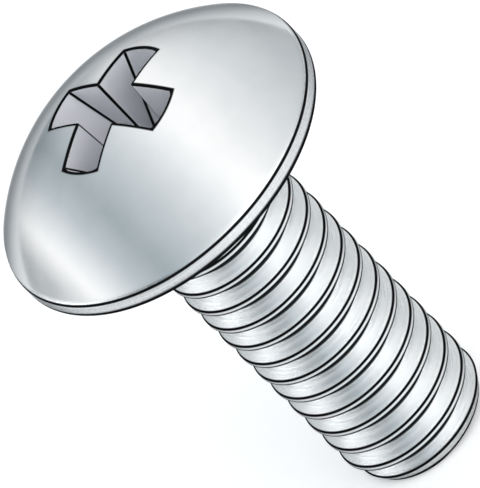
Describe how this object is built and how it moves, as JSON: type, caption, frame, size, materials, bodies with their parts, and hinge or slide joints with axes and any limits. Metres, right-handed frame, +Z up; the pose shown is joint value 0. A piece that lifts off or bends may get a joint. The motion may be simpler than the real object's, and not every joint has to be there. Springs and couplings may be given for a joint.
{
  "type": "truss head screw",
  "caption": "Machine screw with a wide, low domed truss head, a cross recess, a coarse right-hand thread up to the head and a flat chamfered end.",
  "frame": {"origin": "centre of the flat end face, which the screw stands on", "axes": "+Z up the screw's axis from the end face to the head; the cross recess's wings lie along X and Y"},
  "size_m": [0.0174, 0.0174, 0.0259],
  "materials": {
    "zinc_plate": "bright zinc plate on steel, smooth and semi-gloss"
  },
  "bodies": {
    "root": {"truss_head_screw": "zinc_plate"}
  },
  "joints": []
}
